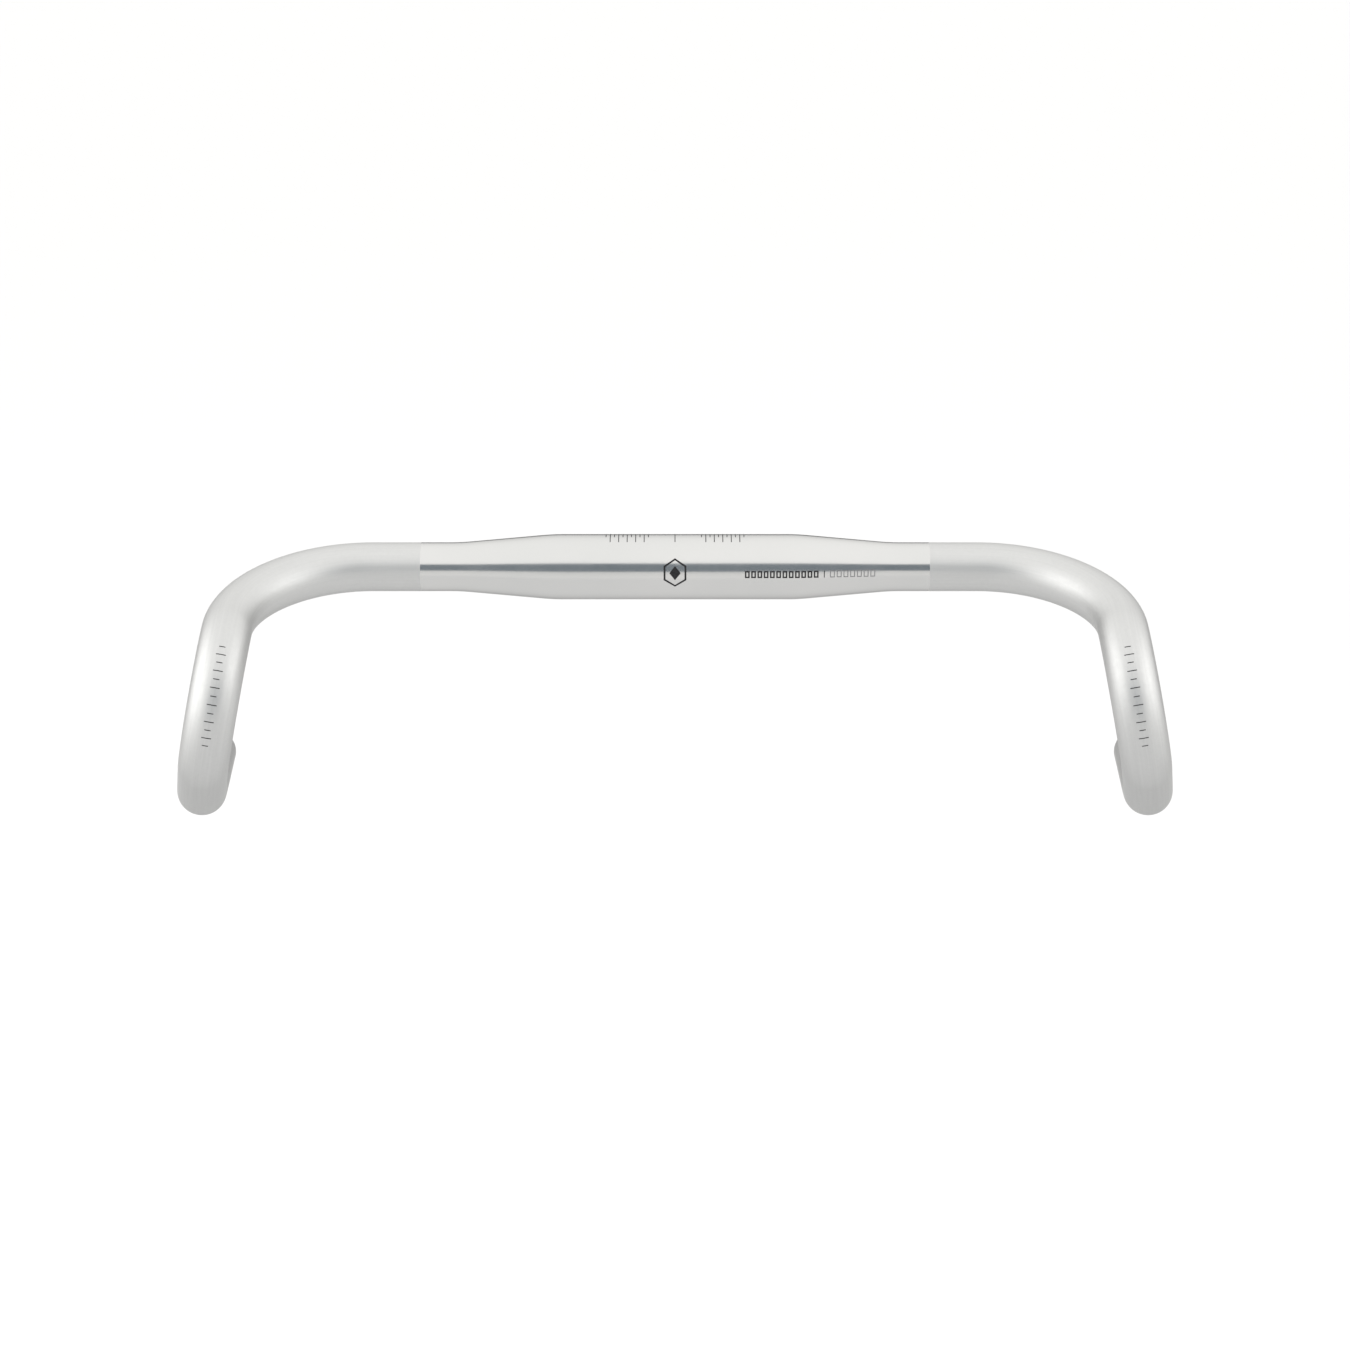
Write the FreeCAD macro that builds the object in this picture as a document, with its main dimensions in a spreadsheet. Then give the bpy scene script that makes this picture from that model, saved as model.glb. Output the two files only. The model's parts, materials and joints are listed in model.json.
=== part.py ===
import math
import os

import FreeCAD
import Part
import Sketcher

# A drop handlebar for a road or gravel bicycle: one butted, swaged and bent aluminium tube with
# thin printed marks on its outside. Sizes are in millimetres and degrees. The origin is the centre
# of the stem clamp, +X runs along the tops to one end, +Z is up, and the hooks reach along -Y.

os.makedirs("parts", exist_ok=True)
doc = FreeCAD.newDocument("drop_handlebar")
sheet = doc.addObject("Spreadsheet::Sheet", "sizes")

SIZES = {
    # outside of the tube, from the clamp zone out to the plain tube
    "clamp_diameter": 31.8,
    "tube_diameter": 23.8,
    "clamp_half_length": 55,
    "taper_length": 54,
    "taper_blend_radius": 100,
    # path of one half: tops, corner, hook, palm straight, lower bend, drop
    "tops_half_length": 147,
    "corner_radius": 64.5,
    "ramp_angle": 13.7,
    "hook_roll": 11.4,
    "hook_radius": 36,
    "hook_angle": 135,
    "palm_length": 43.5,
    "lower_radius": 47,
    "lower_angle": 35.6,
    "drop_length": 45.4,
    # wall of the tube, thicker in the clamp
    "clamp_wall": 2.2,
    "tube_wall": 1.7,
    "end_chamfer": 0.4,
    # all printed marks
    "ink_thickness": 0.05,
    "tick_width": 0.4,
    # scales that centre the stem on the clamp zone
    "clamp_scale_start": 12.7,
    "clamp_scale_pitch": 2.06,
    "clamp_long_ticks": 5,
    "clamp_long_front": 7.3,
    "clamp_short_front": 3.1,
    "clamp_scale_rear": 2.8,
    # scales that set the brake levers level on the hooks
    "lever_scale_start": 26,
    "lever_scale_pitch": 4.08,
    "lever_long_ticks": 6,
    "lever_long_tick": 4.6,
    "lever_short_tick": 2.9,
    # emblem and the two rows of plain boxes beside it
    "emblem_width": 11,
    "emblem_height": 14,
    "emblem_line": 0.9,
    "emblem_rise": 0.7,
    "row_height": 3.5,
    "bold_row_start": 33.8,
    "bold_boxes": 12,
    "bold_box_width": 2.3,
    "bold_box_pitch": 3.03,
    "bold_box_line": 0.7,
    "divider_gap": 2.6,
    "light_row_gap": 2.6,
    "light_boxes": 7,
    "light_box_width": 2.3,
    "light_box_pitch": 3.27,
    "light_box_line": 0.4,
}

for row, (name, number) in enumerate(SIZES.items(), start=1):
    sheet.set(f"A{row}", name)
    sheet.set(f"B{row}", str(number))
    sheet.setAlias(f"B{row}", name)
doc.recompute()

# The frame of the hook's flat path: it starts where the corner ends, x along the ramp and y
# towards the inside of the hook. The hook plane is rolled about the ramp, which flares the drops.
HOOK_FRAME = (
    "placement(vector(sizes.tops_half_length + sizes.corner_radius;"
    " -sizes.corner_radius * cos(sizes.ramp_angle);"
    " -sizes.corner_radius * sin(sizes.ramp_angle));"
    " rotationx(sizes.ramp_angle) * rotationz(-90) * rotationx(sizes.hook_roll - 90))"
)

# Turns a sketch on the XY plane upright, so that its own z, and what it is padded into, faces -Y.
FACING_FORWARD = "placement(vector(0; 0; 0); rotationx(90))"

# Two sizes or points closer than this count as the same.
SAME = 1e-3


def value(expression):
    """An expression's number now, used to draw a sketch near its solved place."""
    return float(sheet.evalExpression(expression))


def origin_plane(body, role):
    return next(feature for feature in body.Origin.OriginFeatures if feature.Role == role)


def add_body(name):
    body = doc.addObject("PartDesign::Body", name)
    body.Label = name
    return body


def add_sketch(body, name, role, offset=None):
    """A sketch on one of its body's own origin planes, moved by a bound placement if given."""
    sketch = body.newObject("Sketcher::SketchObject", name)
    sketch.AttachmentSupport = [(origin_plane(body, role), "")]
    sketch.MapMode = "FlatFace"
    if offset:
        sketch.setExpression("AttachmentOffset", offset)
    return sketch


def bind(sketch, expression, kind, *where):
    """Adds one dimension to a sketch and ties it to the sheet."""
    index = sketch.addConstraint(Sketcher.Constraint(kind, *where, value(expression)))
    sketch.setExpression(f"Constraints[{index}]", expression)


def place_point(sketch, geometry, end, x, y):
    """Ties one point of a sketch to coordinates, each an expression or 0."""
    for expression, kind, axis in ((x, "DistanceX", -2), (y, "DistanceY", -1)):
        if expression == 0:
            sketch.addConstraint(Sketcher.Constraint("PointOnObject", geometry, end, axis))
        else:
            bind(sketch, expression, kind, -1, 1, geometry, end)


def draw_outline(sketch, corners):
    """A closed outline of straight lines whose corners are pairs of expressions."""
    points = [
        FreeCAD.Vector(*(0 if part == 0 else value(part) for part in corner), 0)
        for corner in corners
    ]
    first = sketch.GeometryCount
    count = len(points)
    for i in range(count):
        sketch.addGeometry(Part.LineSegment(points[i], points[(i + 1) % count]))
    for i in range(count):
        following = first + (i + 1) % count
        sketch.addConstraint(Sketcher.Constraint("Coincident", first + i, 2, following, 1))
    for i, corner in enumerate(corners):
        place_point(sketch, first + i, 1, *corner)


def draw_tube_section(sketch):
    """The plain tube's wall: two circles about the sketch's origin."""
    for radius in ("sizes.tube_diameter / 2", "sizes.tube_diameter / 2 - sizes.tube_wall"):
        centre = FreeCAD.Vector(0, 0, 0)
        circle = sketch.addGeometry(Part.Circle(centre, FreeCAD.Vector(0, 0, 1), value(radius)))
        sketch.addConstraint(Sketcher.Constraint("Coincident", circle, 3, -1, 1))
        bind(sketch, radius, "Radius", circle)


def draw_tops_profile(sketch, inner_clamp, inner_tube, extra):
    """Half of the profile about X. Its outside stands off the tube's outside by extra, and an
    arc blends each end of the taper, as swaging leaves it."""
    clamp_end = "sizes.clamp_half_length"
    taper_end = "sizes.clamp_half_length + sizes.taper_length"
    tops_end = "sizes.tops_half_length"
    outer_clamp = f"sizes.clamp_diameter / 2 + {extra}"
    outer_tube = f"sizes.tube_diameter / 2 + {extra}"
    blend = value("sizes.taper_blend_radius")
    slope = math.atan2(value(outer_clamp) - value(outer_tube), value("sizes.taper_length"))

    def point(x, y):
        return FreeCAD.Vector(value(x), value(y), 0)

    def add_line(start, end):
        return sketch.addGeometry(Part.LineSegment(start, end))

    def add_arc(centre, start_angle, end_angle):
        circle = Part.Circle(centre, FreeCAD.Vector(0, 0, 1), blend)
        return sketch.addGeometry(Part.ArcOfCircle(circle, start_angle, end_angle))

    clamp_corner = point(clamp_end, outer_clamp)
    tube_corner = point(taper_end, outer_tube)
    up = FreeCAD.Vector(0, blend, 0)
    quarter = math.pi / 2
    clamp_top = add_line(point("0", outer_clamp), clamp_corner)
    shoulder = add_arc(clamp_corner - up, quarter - slope, quarter)
    taper = add_line(clamp_corner, tube_corner)
    foot = add_arc(tube_corner + up, 3 * quarter - slope, 3 * quarter)
    plain = add_line(tube_corner, point(tops_end, outer_tube))
    for one, one_end, other, other_end in (
        (clamp_top, 2, shoulder, 2),
        (shoulder, 1, taper, 1),
        (taper, 2, foot, 1),
        (foot, 2, plain, 1),
    ):
        joint = Sketcher.Constraint("Tangent", one, one_end, other, other_end)
        sketch.addConstraint(joint)
    bind(sketch, "sizes.taper_blend_radius", "Radius", shoulder)
    bind(sketch, "sizes.taper_blend_radius", "Radius", foot)
    place_point(sketch, clamp_top, 1, 0, outer_clamp)
    place_point(sketch, clamp_top, 2, clamp_end, outer_clamp)
    place_point(sketch, plain, 1, taper_end, outer_tube)
    place_point(sketch, plain, 2, tops_end, outer_tube)

    corners = [
        (tops_end, outer_tube),
        (tops_end, inner_tube),
        (taper_end, inner_tube),
        (clamp_end, inner_clamp),
        (0, inner_clamp),
        (0, outer_clamp),
    ]
    previous = plain
    for (x, y), (next_x, next_y) in zip(corners, corners[1:]):
        line = add_line(point(str(x), y), point(str(next_x), next_y))
        sketch.addConstraint(Sketcher.Constraint("Coincident", previous, 2, line, 1))
        if previous != plain:
            place_point(sketch, line, 1, x, y)
        previous = line
    sketch.addConstraint(Sketcher.Constraint("Coincident", previous, 2, clamp_top, 1))


def add_revolution(body, sketch, name, axis="H_Axis"):
    revolution = body.newObject("PartDesign::Revolution", name)
    revolution.Profile = sketch
    revolution.ReferenceAxis = (sketch, [axis])
    return revolution


def add_pipe(body, section, spine, edge_count, name):
    pipe = body.newObject("PartDesign::AdditivePipe", name)
    pipe.Profile = section
    pipe.Spine = (spine, [f"Edge{i + 1}" for i in range(edge_count)])
    return pipe


def mirror_across_middle(body, features):
    """Repeats features on the other side of the bar's middle plane."""
    mirrored = body.newObject("PartDesign::Mirrored", f"{body.Name}_mirrored")
    mirrored.Originals = features
    mirrored.MirrorPlane = (origin_plane(body, "YZ_Plane"), [""])
    body.Tip = mirrored
    return mirrored


def ring_edges(shape, radius, positions):
    """Names of the full circles of one radius, centred at any of these points."""
    names = []
    for i, edge in enumerate(shape.Edges, start=1):
        circle = edge.Curve
        if circle.TypeId != "Part::GeomCircle" or abs(circle.Radius - radius) > SAME:
            continue
        if any((circle.Center - point).Length < SAME for point in positions):
            names.append(f"Edge{i}")
    return names


def draw_corner_path(sketch):
    """The quarter turn from the tops to the ramp, with -y as the way the ramp points."""
    start = FreeCAD.Vector(value("sizes.tops_half_length"), 0, 0)
    radius = value("sizes.corner_radius")
    centre = start - FreeCAD.Vector(0, radius, 0)
    circle = Part.Circle(centre, FreeCAD.Vector(0, 0, 1), radius)
    arc = sketch.addGeometry(Part.ArcOfCircle(circle, 0, math.pi / 2))
    place_point(sketch, arc, 2, "sizes.tops_half_length", 0)
    place_point(sketch, arc, 3, "sizes.tops_half_length", "-sizes.corner_radius")
    sketch.addConstraint(Sketcher.Constraint("Horizontal", arc, 3, arc, 1))


def draw_hook_path(sketch):
    """Hook arc, palm straight, lower arc and drop straight, each tangent to the next."""
    hook_radius = value("sizes.hook_radius")
    lower_radius = value("sizes.lower_radius")
    turn = math.radians(value("sizes.hook_angle"))
    total = turn + math.radians(value("sizes.lower_angle"))
    z_axis = FreeCAD.Vector(0, 0, 1)

    def heading(angle):
        return FreeCAD.Vector(math.cos(angle), math.sin(angle), 0)

    def inward(angle):
        return FreeCAD.Vector(-math.sin(angle), math.cos(angle), 0)

    hook_centre = inward(0) * hook_radius
    palm_start = hook_centre - inward(turn) * hook_radius
    palm_end = palm_start + heading(turn) * value("sizes.palm_length")
    lower_centre = palm_end + inward(turn) * lower_radius
    drop_start = lower_centre - inward(total) * lower_radius
    drop_end = drop_start + heading(total) * value("sizes.drop_length")

    quarter = math.pi / 2
    hook_circle = Part.Circle(hook_centre, z_axis, hook_radius)
    lower_circle = Part.Circle(lower_centre, z_axis, lower_radius)
    hook = sketch.addGeometry(Part.ArcOfCircle(hook_circle, -quarter, turn - quarter))
    palm = sketch.addGeometry(Part.LineSegment(palm_start, palm_end))
    lower = sketch.addGeometry(Part.ArcOfCircle(lower_circle, turn - quarter, total - quarter))
    drop = sketch.addGeometry(Part.LineSegment(drop_start, drop_end))

    sketch.addConstraint(Sketcher.Constraint("Coincident", hook, 1, -1, 1))
    place_point(sketch, hook, 3, 0, "sizes.hook_radius")
    for one, other in ((hook, palm), (palm, lower), (lower, drop)):
        sketch.addConstraint(Sketcher.Constraint("Tangent", one, 2, other, 1))
    bind(sketch, "sizes.lower_radius", "Radius", lower)
    bind(sketch, "sizes.palm_length", "Distance", palm)
    bind(sketch, "sizes.drop_length", "Distance", drop)
    bind_heading(sketch, palm, "sizes.hook_angle")
    bind_heading(sketch, drop, "sizes.hook_angle + sizes.lower_angle")


def bind_heading(sketch, line, degrees):
    """Ties the way a line points, measured from the sketch's x axis."""
    radians = math.radians(value(degrees))
    index = sketch.addConstraint(Sketcher.Constraint("Angle", line, radians))
    sketch.setExpression(f"Constraints[{index}]", f"({degrees}) * 1deg")


def make_tube():
    body = add_body("handlebar_tube")
    tops_sketch = add_sketch(body, "tops_profile", "XZ_Plane")
    clamp_bore = "sizes.clamp_diameter / 2 - sizes.clamp_wall"
    tube_bore = "sizes.tube_diameter / 2 - sizes.tube_wall"
    draw_tops_profile(tops_sketch, clamp_bore, tube_bore, "0")
    tops = add_revolution(body, tops_sketch, "tops")

    corner_start = "placement(vector(0; 0; sizes.tops_half_length); rotationz(0))"
    corner_section = add_sketch(body, "corner_section", "YZ_Plane", corner_start)
    draw_tube_section(corner_section)
    ramp_plane = "placement(vector(0; 0; 0); rotationx(sizes.ramp_angle))"
    corner_path = add_sketch(body, "corner_path", "XY_Plane", ramp_plane)
    draw_corner_path(corner_path)
    corner = add_pipe(body, corner_section, corner_path, 1, "corner")

    across_ramp = f"{HOOK_FRAME} * placement(vector(0; 0; 0); rotationy(90))"
    hook_section = add_sketch(body, "hook_section", "XY_Plane", across_ramp)
    draw_tube_section(hook_section)
    hook_path = add_sketch(body, "hook_path", "XY_Plane", HOOK_FRAME)
    draw_hook_path(hook_path)
    hook = add_pipe(body, hook_section, hook_path, 4, "hook_and_drop")

    both = mirror_across_middle(body, [tops, corner, hook])
    chamfer_ends(body, both, hook_path)
    return body


def chamfer_ends(body, base, hook_path):
    """Breaks both edges of the saw cut at each open end."""
    doc.recompute()
    path_end = hook_path.Shape.Wires[0].OrderedVertexes[-1].Point
    other_end = FreeCAD.Vector(-path_end.x, path_end.y, path_end.z)
    edges = []
    for radius in ("sizes.tube_diameter / 2", "sizes.tube_diameter / 2 - sizes.tube_wall"):
        edges += ring_edges(base.Shape, value(radius), (path_end, other_end))
    chamfer = body.newObject("PartDesign::Chamfer", "cut_ends")
    chamfer.Base = (base, edges)
    chamfer.setExpression("Size", "sizes.end_chamfer")
    body.Tip = chamfer


def make_ink_skin(tube):
    """A film as thick as the ink over all of the tops, which the stencils take pieces of."""
    body = add_body("ink_blank")
    sketch = add_sketch(body, "ink_blank_profile", "XZ_Plane")
    mid_clamp = "sizes.clamp_diameter / 2 - sizes.clamp_wall / 2"
    mid_tube = "sizes.tube_diameter / 2 - sizes.tube_wall / 2"
    draw_tops_profile(sketch, mid_clamp, mid_tube, "sizes.ink_thickness")
    half = add_revolution(body, sketch, "ink_blank_half")
    mirror_across_middle(body, [half])
    skin = doc.addObject("Part::Cut", "ink_skin")
    skin.Base = body
    skin.Tool = tube
    return skin


def add_pad(body, sketch, name):
    """Pads a stencil from the middle of the bar out through the ink film."""
    pad = body.newObject("PartDesign::Pad", name)
    pad.Profile = sketch
    pad.setExpression("Length", "sizes.clamp_diameter / 2 + 2 * sizes.ink_thickness")
    return pad


def repeat_along_x(body, sketch, feature, name, count, step):
    pattern = body.newObject("PartDesign::LinearPattern", name)
    pattern.Originals = [feature]
    pattern.Direction = (sketch, ["H_Axis"])
    pattern.setExpression("Occurrences", count)
    pattern.setExpression("Length", f"({step}) * ({count} - 1)")
    body.Tip = pattern


def print_mark(name, stencil, skin):
    """The part of the ink film that shows through a stencil."""
    mark = doc.addObject("Part::Common", name)
    mark.Label = name
    mark.Base = stencil
    mark.Tool = skin
    return mark


def draw_box(sketch, left, right, low, high):
    draw_outline(sketch, [(left, low), (right, low), (right, high), (left, high)])


def add_ticks(body, name, left, front, count, step):
    """A row of equal ticks over the top of the clamp zone, from left along +x."""
    sketch = add_sketch(body, name, "XY_Plane")
    draw_box(sketch, left, f"{left} + sizes.tick_width", f"-{front}", "sizes.clamp_scale_rear")
    pad = add_pad(body, sketch, f"{name}_pad")
    if count:
        repeat_along_x(body, sketch, pad, f"{name}s", count, step)


def make_clamp_scale(name, skin):
    """Short and long ticks in turn, over the top of the clamp zone on the +X side."""
    body = add_body(f"{name}_stencil")
    start = "sizes.clamp_scale_start"
    pitch = "sizes.clamp_scale_pitch"
    count = "sizes.clamp_long_ticks"
    add_ticks(body, "long_tick", f"{start} + {pitch}", "sizes.clamp_long_front", count, f"2 * {pitch}")
    add_ticks(body, "short_tick", start, "sizes.clamp_short_front", f"({count} + 1)", f"2 * {pitch}")
    return print_mark(name, body, skin)


def make_centre_mark(name, skin):
    """One long tick on the middle of the clamp zone, between the two scales."""
    body = add_body(f"{name}_stencil")
    add_ticks(body, "centre_tick", "-sizes.tick_width / 2", "sizes.clamp_long_front", None, None)
    return print_mark(name, body, skin)


def make_emblem(name, skin):
    """A six-sided outline round a diamond, facing forward on the clamp zone."""
    body = add_body(f"{name}_stencil")
    raised = f"placement(vector(0; 0; sizes.emblem_rise); rotationx(0)) * {FACING_FORWARD}"
    sketch = add_sketch(body, "emblem_outline", "XY_Plane", raised)
    for inset in ("0", "sizes.emblem_line"):
        side = f"sizes.emblem_width / 2 - {inset}"
        tip = f"sizes.emblem_height / 2 - {inset}"
        shoulder = f"({tip}) / 2"
        draw_outline(
            sketch,
            [
                (0, tip),
                (side, shoulder),
                (side, f"-{shoulder}"),
                (0, f"-({tip})"),
                (f"-({side})", f"-{shoulder}"),
                (f"-({side})", shoulder),
            ],
        )
    half_diamond = "sizes.emblem_width / 4"
    tall_diamond = "sizes.emblem_height / 4"
    draw_outline(
        sketch,
        [
            (0, tall_diamond),
            (half_diamond, 0),
            (0, f"-{tall_diamond}"),
            (f"-{half_diamond}", 0),
        ],
    )
    add_pad(body, sketch, "emblem_pad")
    return print_mark(name, body, skin)


def make_divider(name, skin, left):
    """One thin upright line between the two rows of boxes."""
    body = add_body(f"{name}_stencil")
    sketch = add_sketch(body, "divider", "XY_Plane", FACING_FORWARD)
    half_height = "sizes.row_height / 2"
    draw_box(sketch, left, f"{left} + sizes.tick_width", f"-{half_height}", half_height)
    add_pad(body, sketch, "divider_pad")
    return print_mark(name, body, skin)


def make_box_row(name, skin, left, size):
    """A row of equal open boxes on the front of the tops. Size is bold_box or light_box."""
    body = add_body(f"{name}_stencil")
    sketch = add_sketch(body, f"{size}_outline", "XY_Plane", FACING_FORWARD)
    right = f"{left} + sizes.{size}_width"
    line = f"sizes.{size}_line"
    half_height = "sizes.row_height / 2"
    inner_half_height = f"({half_height} - {line})"
    draw_box(sketch, left, right, f"-{half_height}", half_height)
    draw_box(
        sketch, f"{left} + {line}", f"{right} - {line}", f"-{inner_half_height}", inner_half_height
    )
    pad = add_pad(body, sketch, f"{size}_pad")
    repeat_along_x(body, sketch, pad, f"{size}es", f"sizes.{size}es", f"sizes.{size}_pitch")
    return print_mark(name, body, skin)


def draw_tick_section(sketch, length):
    """A thin arc of ink on the outer side of the tube, whose centre is out along x."""
    inner = value("sizes.tube_diameter / 2")
    outer = inner + value("sizes.ink_thickness")
    half_turn = value(length) / 2 / inner
    centre = FreeCAD.Vector(value("sizes.hook_radius"), 0, 0)
    half_angle = f"{length} / sizes.tube_diameter * 1rad"
    arcs = []
    for radius, expression in (
        (inner, "sizes.tube_diameter / 2"),
        (outer, "sizes.tube_diameter / 2 + sizes.ink_thickness"),
    ):
        circle = Part.Circle(centre, FreeCAD.Vector(0, 0, 1), radius)
        arc = sketch.addGeometry(Part.ArcOfCircle(circle, -half_turn, half_turn))
        end_y = f"({expression}) * sin({half_angle})"
        place_point(sketch, arc, 3, "sizes.hook_radius", 0)
        place_point(sketch, arc, 2, f"sizes.hook_radius + ({expression}) * cos({half_angle})", end_y)
        sketch.addConstraint(Sketcher.Constraint("Vertical", arc, 1, arc, 2))
        arcs.append(arc)
    for end in (1, 2):
        inner_point = centre + FreeCAD.Vector(inner, 0, 0)
        outer_point = centre + FreeCAD.Vector(outer, 0, 0)
        line = sketch.addGeometry(Part.LineSegment(inner_point, outer_point))
        sketch.addConstraint(Sketcher.Constraint("Coincident", line, 1, arcs[0], end))
        sketch.addConstraint(Sketcher.Constraint("Coincident", line, 2, arcs[1], end))


def make_lever_scale(name):
    """Short and long ticks in turn, round the outer line of the +X hook."""
    body = add_body(name)
    surface_radius = "(sizes.hook_radius + sizes.tube_diameter / 2)"
    start = f"sizes.lever_scale_start / {surface_radius} * 1rad"
    pitch = f"sizes.lever_scale_pitch / {surface_radius} * 1rad"
    body.setExpression(
        "Placement",
        f"{HOOK_FRAME} * placement(vector(0; sizes.hook_radius; 0); rotationz({start} - 90deg))",
    )
    for part, first, length, count in (
        ("long", pitch, "sizes.lever_long_tick", "sizes.lever_long_ticks"),
        ("short", "0deg", "sizes.lever_short_tick", "(sizes.lever_long_ticks + 1)"),
    ):
        turned = f"placement(vector(0; 0; 0); rotationy({first}))"
        sketch = add_sketch(body, f"lever_{part}_section", "XZ_Plane", turned)
        draw_tick_section(sketch, length)
        tick = add_revolution(body, sketch, f"lever_{part}_tick", "V_Axis")
        tick.setExpression("Angle", f"sizes.tick_width / {surface_radius} * 1rad")
        pattern = body.newObject("PartDesign::PolarPattern", f"lever_{part}_ticks")
        pattern.Originals = [tick]
        pattern.Axis = (sketch, ["V_Axis"])
        pattern.setExpression("Occurrences", count)
        pattern.setExpression("Angle", f"2 * {pitch} * ({count} - 1)")
        body.Tip = pattern
    return body


def mirror_node(name, source):
    """The same piece on the other side of the bar's middle plane."""
    mirrored = doc.addObject("Part::Mirroring", name)
    mirrored.Label = name
    mirrored.Source = source
    mirrored.Normal = FreeCAD.Vector(1, 0, 0)
    return mirrored


tube = make_tube()
skin = make_ink_skin(tube)
clamp_scale = make_clamp_scale("clamp_scale_right", skin)
lever_scale = make_lever_scale("lever_scale_right")
divider_start = (
    "sizes.bold_row_start + (sizes.bold_boxes - 1) * sizes.bold_box_pitch"
    " + sizes.bold_box_width + sizes.divider_gap"
)
light_row_start = f"{divider_start} + sizes.tick_width + sizes.light_row_gap"

nodes = [
    tube,
    make_centre_mark("centre_mark", skin),
    clamp_scale,
    mirror_node("clamp_scale_left", clamp_scale),
    lever_scale,
    mirror_node("lever_scale_left", lever_scale),
    make_emblem("emblem", skin),
    make_box_row("bold_box_row", skin, "sizes.bold_row_start", "bold_box"),
    make_divider("row_divider", skin, divider_start),
    make_box_row("light_box_row", skin, light_row_start, "light_box"),
]
doc.recompute()

for item in doc.Objects:
    if {"Invalid", "Error"} & set(item.State):
        raise RuntimeError(f"{item.Label} did not build: {item.State}")
for node in nodes:
    if node.Shape.isNull() or not node.Shape.isValid():
        raise RuntimeError(f"{node.Label} has no valid shape")
for node in nodes:
    node.Shape.exportStep(f"parts/{node.Label}.step")
    box = node.Shape.BoundBox
    print(f"{node.Label}: {len(node.Shape.Solids)} solids, {node.Shape.Volume:.2f} mm3,", box)
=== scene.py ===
import json
import math
import bmesh
import bpy
from mathutils import Matrix, Vector


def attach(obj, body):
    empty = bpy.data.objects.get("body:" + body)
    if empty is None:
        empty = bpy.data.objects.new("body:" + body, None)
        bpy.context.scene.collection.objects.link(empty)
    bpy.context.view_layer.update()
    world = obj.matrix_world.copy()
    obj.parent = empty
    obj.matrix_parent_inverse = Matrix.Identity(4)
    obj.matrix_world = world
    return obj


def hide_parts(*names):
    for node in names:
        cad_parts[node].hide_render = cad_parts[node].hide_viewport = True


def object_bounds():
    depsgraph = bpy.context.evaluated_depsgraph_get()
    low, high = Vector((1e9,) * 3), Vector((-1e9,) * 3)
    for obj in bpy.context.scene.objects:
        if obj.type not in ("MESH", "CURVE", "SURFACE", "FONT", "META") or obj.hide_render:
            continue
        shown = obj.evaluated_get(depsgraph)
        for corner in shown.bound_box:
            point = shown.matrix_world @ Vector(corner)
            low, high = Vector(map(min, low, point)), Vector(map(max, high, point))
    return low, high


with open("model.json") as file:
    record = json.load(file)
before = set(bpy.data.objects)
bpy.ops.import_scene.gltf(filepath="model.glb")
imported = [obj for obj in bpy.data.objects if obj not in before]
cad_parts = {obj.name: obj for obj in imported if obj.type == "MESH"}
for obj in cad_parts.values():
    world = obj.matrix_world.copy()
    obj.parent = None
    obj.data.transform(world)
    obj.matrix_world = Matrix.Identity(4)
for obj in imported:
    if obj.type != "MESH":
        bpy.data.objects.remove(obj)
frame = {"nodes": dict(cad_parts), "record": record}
cad_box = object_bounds()

# A drop handlebar in a white studio, in metres. The tube is swept again here, finer than the packed
# one and in its two finishes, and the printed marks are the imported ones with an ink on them.

scene = bpy.context.scene
mounts = {mount["name"]: mount for mount in frame["record"]["mounts"]}

# ---------------------------------------------------------------- sizes of the tube

MM = 0.001
CLAMP_RADIUS = mounts["stem_clamp"]["dims"]["r_mm"] * MM
CLAMP_HALF_LENGTH = mounts["stem_clamp"]["dims"]["length_mm"] * MM / 2
BORE_RADIUS = mounts["bar_end_right"]["dims"]["r_mm"] * MM
TUBE_RADIUS = 11.9 * MM
CLAMP_BORE_RADIUS = 13.7 * MM
TAPER_LENGTH = 54 * MM
TAPER_BLEND_RADIUS = 100 * MM
TOPS_HALF_LENGTH = 147 * MM
CORNER_RADIUS = 64.5 * MM
RAMP_ANGLE = math.radians(13.7)
HOOK_ROLL = math.radians(11.4)
HOOK_RADIUS = 36 * MM
HOOK_ANGLE = math.radians(135)
PALM_LENGTH = 43.5 * MM
LOWER_RADIUS = 47 * MM
LOWER_ANGLE = math.radians(35.6)
DROP_LENGTH = 45.4 * MM
END_CHAMFER = 0.4 * MM
POLISHED_HALF_LENGTH = 123.5 * MM

# How finely the tube is cut up: its facets stay well inside the thickness of the ink.
SIDES = 96
RING_SPACING = 3 * MM
BEND_STEP = math.radians(2.5)
FIT_TOLERANCE = 0.1 * MM

# The tube's materials, in the order of its slots.
POLISHED, SATIN, CUT, BORE = range(4)

# The vertex layer that holds where a vertex is in the tube: x and y across it, z along it.
TUBE_PLACE = "tube_place"


# ---------------------------------------------------------------- shape of the tube


def blend_drop(along):
    """How far a blend arc has curved away at a distance along from where it starts."""
    return TAPER_BLEND_RADIUS - math.sqrt(TAPER_BLEND_RADIUS**2 - along**2)


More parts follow.
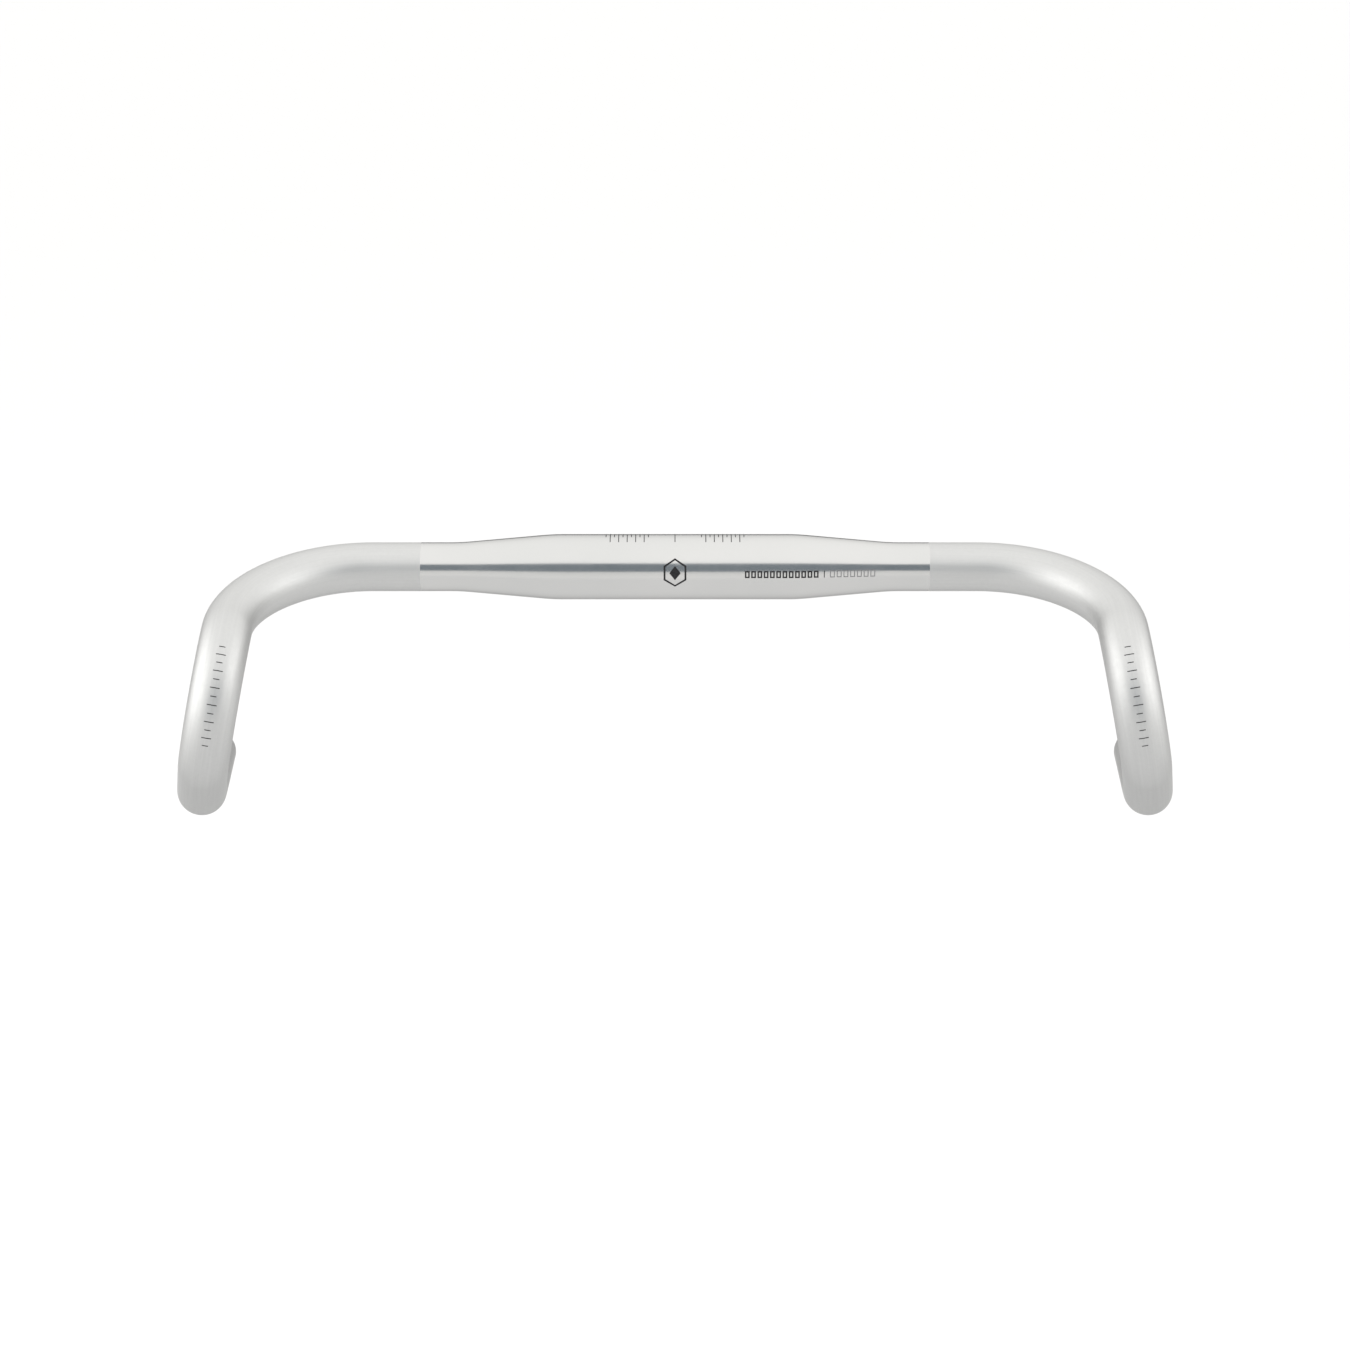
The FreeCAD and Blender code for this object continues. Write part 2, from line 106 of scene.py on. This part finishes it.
def tops_radius(x):
    """Outside radius at x along the tops: clamp zone, blend, taper, blend, plain tube."""
    fall = 2 * TAPER_BLEND_RADIUS - (CLAMP_RADIUS - TUBE_RADIUS)
    apart = math.hypot(TAPER_LENGTH, fall)
    slope = math.asin(2 * TAPER_BLEND_RADIUS / apart) - math.atan2(fall, TAPER_LENGTH)
    run = TAPER_BLEND_RADIUS * math.sin(slope)
    from_clamp = x - CLAMP_HALF_LENGTH
    to_tube = TAPER_LENGTH - from_clamp
    if from_clamp <= 0:
        return CLAMP_RADIUS
    if to_tube <= 0:
        return TUBE_RADIUS
    if from_clamp < run:
        return CLAMP_RADIUS - blend_drop(from_clamp)
    if to_tube < run:
        return TUBE_RADIUS + blend_drop(to_tube)
    return CLAMP_RADIUS - blend_drop(run) - (from_clamp - run) * math.tan(slope)


def tops_bore(x):
    """Inside radius at x along the tops, where the wall thickens into the clamp zone."""
    share = min(max((x - CLAMP_HALF_LENGTH) / TAPER_LENGTH, 0), 1)
    return CLAMP_BORE_RADIUS + (BORE_RADIUS - CLAMP_BORE_RADIUS) * share


def straight(pose, length):
    """Poses along a straight run, its end included. A pose's local z points along the tube."""
    steps = math.ceil(length / RING_SPACING)
    return [pose @ Matrix.Translation((0, 0, length * i / steps)) for i in range(1, steps + 1)]


def bend(pose, axis, radius, angle):
    """Poses round an arc about an axis, its end included."""
    tangent = pose.col[2].to_3d()
    centre = pose.translation + axis.cross(tangent) * radius
    steps = math.ceil(angle / BEND_STEP)
    poses = []
    for i in range(1, steps + 1):
        turn = Matrix.Rotation(angle * i / steps, 4, axis)
        poses.append(Matrix.Translation(centre) @ turn @ Matrix.Translation(-centre) @ pose)
    return poses


def tops_stations():
    """Pose, outside radius and bore radius along the tops of the +X half, from the middle out."""
    stops = (0, CLAMP_HALF_LENGTH, CLAMP_HALF_LENGTH + TAPER_LENGTH, POLISHED_HALF_LENGTH, TOPS_HALF_LENGTH)
    places = [0]
    for start, end in zip(stops, stops[1:]):
        steps = math.ceil((end - start) / RING_SPACING)
        places += [start + (end - start) * i / steps for i in range(1, steps + 1)]
    facing = Matrix.Rotation(math.pi / 2, 4, "Y")
    return [(Matrix.Translation((x, 0, 0)) @ facing, tops_radius(x), tops_bore(x)) for x in places]


def bent_stations(tops_end):
    """Pose and radii from the end of the tops to the open end: corner, hook, palm, lower bend, drop."""
    along = Vector((1, 0, 0))
    ramp = Vector((0, -math.cos(RAMP_ANGLE), -math.sin(RAMP_ANGLE)))
    hook_inward = Vector(
        (
            math.sin(HOOK_ROLL),
            math.cos(HOOK_ROLL) * math.sin(RAMP_ANGLE),
            -math.cos(HOOK_ROLL) * math.cos(RAMP_ANGLE),
        )
    )
    hook_axis = ramp.cross(hook_inward)
    poses = bend(tops_end, along.cross(ramp), CORNER_RADIUS, math.pi / 2)
    poses += bend(poses[-1], hook_axis, HOOK_RADIUS, HOOK_ANGLE)
    poses += straight(poses[-1], PALM_LENGTH)
    poses += bend(poses[-1], hook_axis, LOWER_RADIUS, LOWER_ANGLE)
    poses += straight(poses[-1], DROP_LENGTH - END_CHAMFER)
    return [(pose, TUBE_RADIUS, BORE_RADIUS) for pose in poses]


def add_ring(mesh, pose, radius, along):
    """A ring of vertices. Each keeps its place across the section and its distance along the tube."""
    tube_place = mesh.verts.layers.float_vector[TUBE_PLACE]
    ring = []
    for i in range(SIDES):
        angle = 2 * math.pi * i / SIDES
        local = Vector((radius * math.cos(angle), radius * math.sin(angle), 0))
        vertex = mesh.verts.new(pose @ local)
        vertex[tube_place] = (local.x, local.y, along)
        ring.append(vertex)
    return ring


def skin_between(mesh, one, other, material_index):
    for i in range(SIDES):
        following = (i + 1) % SIDES
        face = mesh.faces.new((one[i], one[following], other[following], other[i]))
        face.smooth = True
        face.material_index = material_index


def sharpen(mesh, ring):
    """Keeps the shading on both sides of a ring apart, as at a machined edge."""
    for i in range(SIDES):
        mesh.edges.get((ring[i], ring[(i + 1) % SIDES])).smooth = False


def make_tube(polished, satin, cut, bore):
    """The tube's outside, cut ends and bore as one skin, mirrored to the other side."""
    tops = tops_stations()
    stations = tops + bent_stations(tops[-1][0])
    cut_plane = stations[-1][0] @ Matrix.Translation((0, 0, END_CHAMFER))
    distances = [0]
    for (start, _, _), (end, _, _) in zip(stations, stations[1:]):
        distances.append(distances[-1] + (end.translation - start.translation).length)
    full_length = distances[-1] + END_CHAMFER
    mesh = bmesh.new()
    mesh.verts.layers.float_vector.new(TUBE_PLACE)

    placed = list(zip(stations, distances))
    outside = [add_ring(mesh, pose, radius, along) for (pose, radius, _), along in placed]
    rim = [
        add_ring(mesh, cut_plane, radius, full_length)
        for radius in (TUBE_RADIUS - END_CHAMFER, BORE_RADIUS + END_CHAMFER)
    ]
    inside = [add_ring(mesh, pose, radius, along) for (pose, _, radius), along in reversed(placed)]
    rings = outside + rim + inside
    indexes = []
    for pose, _, _ in stations[1:]:
        in_band = pose.translation.x <= POLISHED_HALF_LENGTH + FIT_TOLERANCE
        indexes.append(POLISHED if in_band else SATIN)
    indexes += [CUT] * 3 + [BORE] * (len(inside) - 1)
    for one, other, index in zip(rings, rings[1:], indexes):
        skin_between(mesh, one, other, index)
    for ring in (outside[-1], *rim, inside[0]):
        sharpen(mesh, ring)

    data = bpy.data.meshes.new("finished_tube")
    mesh.to_mesh(data)
    mesh.free()
    for material in (polished, satin, cut, bore):
        data.materials.append(material)
    tube = bpy.data.objects.new("finished_tube", data)
    scene.collection.objects.link(tube)
    mirror = tube.modifiers.new("other_side", "MIRROR")
    mirror.merge_threshold = FIT_TOLERANCE
    check_end(cut_plane)
    return tube


def check_end(cut_plane):
    """Stops if the swept tube doesn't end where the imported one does."""
    end = mounts["bar_end_right"]
    axis = Vector(end["axis"])
    off = cut_plane.translation - Vector(end["pos_m"])
    sideways = (off - axis * off.dot(axis)).length
    if sideways > FIT_TOLERANCE:
        raise ValueError(f"the tube's end is {sideways / MM:.2f} mm off the packed bore's axis")


# ---------------------------------------------------------------- materials

# Darkens reflections at glancing angles. It was picked to darken the tube's outline.
EDGE_TINT = (0.55, 0.55, 0.55, 1)

# Which way lines run on the tube. They are guesses: drawn streaks run along it, buffing round it and
# saw lines across its end.
ALONG_TUBE = (1, 1, 0.02)
ROUND_TUBE = (0.02, 0.02, 1)
ACROSS_END = (0.03, 1, 1)


# The span of a noise that is spread over a whole range. Values outside it take the range's ends.
NOISE_FOR_NUMBERS = (0.3, 0.7)
NOISE_FOR_COLOURS = (0.35, 0.65)


def new_material(name):
    material = bpy.data.materials.new(name)
    material.use_nodes = True
    return material, material.node_tree.nodes.get("Principled BSDF")


def add_noise(material, scale, detail=2.0):
    """A noise over the piece's own coordinates. Its scale is features per metre."""
    tree = material.node_tree
    place = tree.nodes.new("ShaderNodeTexCoord")
    noise = tree.nodes.new("ShaderNodeTexNoise")
    noise.inputs["Scale"].default_value = scale
    noise.inputs["Detail"].default_value = detail
    tree.links.new(place.outputs["Object"], noise.inputs["Vector"])
    return noise.outputs["Fac"]


def add_lines(material, scale, stretch, detail=2.0):
    """A noise over the place in the tube, drawn out into lines wherever a stretch is small."""
    tree = material.node_tree
    place = tree.nodes.new("ShaderNodeAttribute")
    place.attribute_name = TUBE_PLACE
    mapping = tree.nodes.new("ShaderNodeMapping")
    mapping.inputs["Scale"].default_value = stretch
    noise = tree.nodes.new("ShaderNodeTexNoise")
    noise.inputs["Scale"].default_value = scale
    noise.inputs["Detail"].default_value = detail
    tree.links.new(place.outputs["Vector"], mapping.inputs["Vector"])
    tree.links.new(mapping.outputs["Vector"], noise.inputs["Vector"])
    return noise.outputs["Fac"]


def vary_number(material, factor, socket, low, high):
    """Drives a shader's number between two values by a noise."""
    tree = material.node_tree
    spread = tree.nodes.new("ShaderNodeMapRange")
    spread.inputs["From Min"].default_value = NOISE_FOR_NUMBERS[0]
    spread.inputs["From Max"].default_value = NOISE_FOR_NUMBERS[1]
    spread.inputs["To Min"].default_value = low
    spread.inputs["To Max"].default_value = high
    tree.links.new(factor, spread.inputs["Value"])
    tree.links.new(spread.outputs["Result"], socket)


def vary_colour(material, factor, socket, one, other):
    """Drives a shader's colour between two colours by a noise."""
    tree = material.node_tree
    ramp = tree.nodes.new("ShaderNodeValToRGB")
    ramp.color_ramp.elements[0].position = NOISE_FOR_COLOURS[0]
    ramp.color_ramp.elements[0].color = (*one, 1)
    ramp.color_ramp.elements[1].position = NOISE_FOR_COLOURS[1]
    ramp.color_ramp.elements[1].color = (*other, 1)
    tree.links.new(factor, ramp.inputs["Fac"])
    tree.links.new(ramp.outputs["Color"], socket)


def add_bump(material, shader, factor, height, strength):
    tree = material.node_tree
    bump = tree.nodes.new("ShaderNodeBump")
    bump.inputs["Distance"].default_value = height
    bump.inputs["Strength"].default_value = strength
    tree.links.new(factor, bump.inputs["Height"])
    tree.links.new(bump.outputs["Normal"], shader.inputs["Normal"])


def satin_aluminium():
    """A guess at a blasted, anodised satin: fine pits over faint lines along the tube."""
    material, shader = new_material("satin_aluminium")
    shader.inputs["Metallic"].default_value = 1
    shader.inputs["Specular Tint"].default_value = EDGE_TINT
    drawn = add_lines(material, scale=1100, stretch=ALONG_TUBE, detail=3.0)
    vary_colour(material, drawn, shader.inputs["Base Color"], (0.561, 0.561, 0.554), (0.584, 0.584, 0.576))
    patches = add_noise(material, scale=600)
    vary_number(material, patches, shader.inputs["Roughness"], 0.48, 0.54)
    pits = add_noise(material, scale=3500, detail=3.0)
    add_bump(material, shader, pits, height=0.02 * MM, strength=0.25)
    return material


def polished_aluminium():
    """A guess at a buffed finish: sharp reflections, with faint lines round the tube."""
    material, shader = new_material("polished_aluminium")
    shader.inputs["Metallic"].default_value = 1
    shader.inputs["Specular Tint"].default_value = EDGE_TINT
    tone = add_noise(material, scale=20)
    vary_colour(material, tone, shader.inputs["Base Color"], (0.575, 0.575, 0.565), (0.595, 0.592, 0.582))
    haze = add_noise(material, scale=90, detail=3.0)
    vary_number(material, haze, shader.inputs["Roughness"], 0.16, 0.20)
    lines = add_lines(material, scale=1800, stretch=ROUND_TUBE)
    add_bump(material, shader, lines, height=0.004 * MM, strength=0.15)
    return material


def cut_aluminium():
    """A guess at the sawn end: bare metal with straight saw lines."""
    material, shader = new_material("cut_aluminium")
    shader.inputs["Metallic"].default_value = 1
    lines = add_lines(material, scale=2600, stretch=ACROSS_END)
    vary_colour(material, lines, shader.inputs["Base Color"], (0.60, 0.60, 0.60), (0.72, 0.72, 0.71))
    vary_number(material, lines, shader.inputs["Roughness"], 0.26, 0.38)
    add_bump(material, shader, lines, height=0.03 * MM, strength=0.4)
    return material


def bore_aluminium():
    """A guess at the inside: darker metal with streaks along the tube."""
    material, shader = new_material("bore_aluminium")
    shader.inputs["Metallic"].default_value = 1
    streaks = add_lines(material, scale=1200, stretch=ALONG_TUBE, detail=3.0)
    vary_colour(material, streaks, shader.inputs["Base Color"], (0.40, 0.40, 0.40), (0.50, 0.50, 0.49))
    vary_number(material, streaks, shader.inputs["Roughness"], 0.42, 0.58)
    add_bump(material, shader, streaks, height=0.02 * MM, strength=0.35)
    return material


def printed_ink(name, thin, dense):
    """Matt pad-printed ink that covers a little unevenly."""
    material, shader = new_material(name)
    shader.inputs["Specular IOR Level"].default_value = 0.2
    cover = add_noise(material, scale=1500, detail=3.0)
    vary_colour(material, cover, shader.inputs["Base Color"], dense, thin)
    vary_number(material, cover, shader.inputs["Roughness"], 0.50, 0.64)
    grain = add_noise(material, scale=6000)
    add_bump(material, shader, grain, height=0.01 * MM, strength=0.3)
    return material


def print_nodes(names, material):
    for name in names:
        for slot in frame["nodes"][name].material_slots:
            slot.material = material


# ---------------------------------------------------------------- studio

FLOOR_DROP = 0.32
FLOOR_HALF_SIZE = 20
FLOOR_ALBEDO = 0.72
SKY_COLOUR = (1, 0.998, 0.99, 1)
SKY_STRENGTH = 1.38

CAMERA_LENS = 95.02  # in millimetres, as Blender takes it
CAMERA_SENSOR_WIDTH = 36  # in millimetres
CAMERA_ELEVATION = 13.886  # in degrees, as is the tilt
CAMERA_TILT = 15.626
CAMERA_DISTANCE = 1.7384


def aim(thing, place, target):
    thing.location = place
    thing.rotation_euler = (Vector(target) - Vector(place)).to_track_quat("-Z", "Y").to_euler()


def around(azimuth, elevation, distance):
    """A point at a distance from the clamp. Azimuth 0 is in front, along -Y, and 90 along +X."""
    turn, rise = math.radians(azimuth), math.radians(elevation)
    level = distance * math.cos(rise)
    return Vector((level * math.sin(turn), -level * math.cos(turn), distance * math.sin(rise)))


def add_sheet(name, half_width, half_height, material):
    """A flat sheet that faces along its own +Z."""
    data = bpy.data.meshes.new(name)
    corners = [(-1, -1), (1, -1), (1, 1), (-1, 1)]
    data.from_pydata([(x * half_width, y * half_height, 0) for x, y in corners], [], [(0, 1, 2, 3)])
    data.materials.append(material)
    sheet = bpy.data.objects.new(name, data)
    scene.collection.objects.link(sheet)
    return sheet


def add_floor():
    material, shader = new_material("pale_floor")
    shader.inputs["Roughness"].default_value = 0.9
    shader.inputs["Specular IOR Level"].default_value = 0.1
    shader.inputs["Base Color"].default_value = (FLOOR_ALBEDO, FLOOR_ALBEDO, FLOOR_ALBEDO, 1)
    floor = add_sheet("floor", FLOOR_HALF_SIZE, FLOOR_HALF_SIZE, material)
    floor.location.z = cad_box[0].z - FLOOR_DROP


def add_card(name, azimuth, elevation, distance, half_width, half_height, colour):
    """A card that faces the clamp and that the camera sees only in reflections."""
    material = bpy.data.materials.new(name)
    material.use_nodes = True
    nodes = material.node_tree.nodes
    nodes.clear()
    glow = nodes.new("ShaderNodeEmission")
    glow.inputs["Color"].default_value = (*colour, 1)
    output = nodes.new("ShaderNodeOutputMaterial")
    material.node_tree.links.new(glow.outputs["Emission"], output.inputs["Surface"])
    card = add_sheet(name, half_width, half_height, material)
    aim(card, around(azimuth, elevation, distance), (0, 0, 0))
    card.visible_camera = False
    card.visible_shadow = False
    card.visible_diffuse = False


def add_softbox(name, azimuth, elevation, distance, width, height, radiance):
    """A large square-on lamp of an even brightness."""
    lamp = bpy.data.lights.new(name, "AREA")
    lamp.shape = "RECTANGLE"
    lamp.size = width
    lamp.size_y = height
    lamp.energy = radiance * math.pi * width * height
    softbox = bpy.data.objects.new(name, lamp)
    scene.collection.objects.link(softbox)
    aim(softbox, around(azimuth, elevation, distance), (0, 0, 0))
    softbox.visible_camera = False


def add_sky():
    world = bpy.data.worlds.new("white_studio")
    world.use_nodes = True
    background = world.node_tree.nodes["Background"]
    background.inputs["Color"].default_value = SKY_COLOUR
    background.inputs["Strength"].default_value = SKY_STRENGTH
    scene.world = world


def add_camera():
    """In front and a little above, tilted down past the bar so that it sits above the middle."""
    data = bpy.data.cameras.new("camera")
    data.lens = CAMERA_LENS
    data.sensor_width = CAMERA_SENSOR_WIDTH
    camera = bpy.data.objects.new("camera", data)
    camera.location = around(0, CAMERA_ELEVATION, CAMERA_DISTANCE)
    camera.rotation_euler = (math.radians(90 - CAMERA_TILT), 0, 0)
    scene.collection.objects.link(camera)
    scene.camera = camera


tube = make_tube(polished_aluminium(), satin_aluminium(), cut_aluminium(), bore_aluminium())
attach(tube, "root")
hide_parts("handlebar_tube")

dark_marks = [
    "centre_mark",
    "clamp_scale_left",
    "clamp_scale_right",
    "lever_scale_left",
    "lever_scale_right",
    "emblem",
    "bold_box_row",
    "row_divider",
]
print_nodes(dark_marks, printed_ink("dark_ink", thin=(0.022, 0.022, 0.024), dense=(0.008, 0.008, 0.009)))
print_nodes(["light_box_row"], printed_ink("grey_ink", thin=(0.20, 0.20, 0.205), dense=(0.13, 0.13, 0.135)))

add_camera()
add_sky()
add_floor()
# The front strip shows as the dark line in the polished band. The back flag is there to darken the tube's
# edges, and the floor flag its underside. All three were placed and toned one by one.
add_card(
    "front_strip",
    azimuth=3,
    elevation=10.5,
    distance=1.2,
    half_width=0.65,
    half_height=0.315,
    colour=(0.27, 0.31, 0.345),
)
add_card(
    "back_flag",
    azimuth=180,
    elevation=-10,
    distance=1.6,
    half_width=4.0,
    half_height=0.75,
    colour=(0.42, 0.42, 0.42),
)
add_card(
    "floor_flag",
    azimuth=180,
    elevation=-90,
    distance=0.43,
    half_width=0.8,
    half_height=0.8,
    colour=(1.0, 1.0, 1.0),
)
add_softbox(
    "left_softbox", azimuth=-80, elevation=15, distance=1.6, width=1.8, height=1.4, radiance=1.05
)
add_softbox(
    "right_softbox", azimuth=74, elevation=20, distance=1.6, width=1.3, height=1.1, radiance=0.8
)
scene.view_settings.view_transform = "Standard"
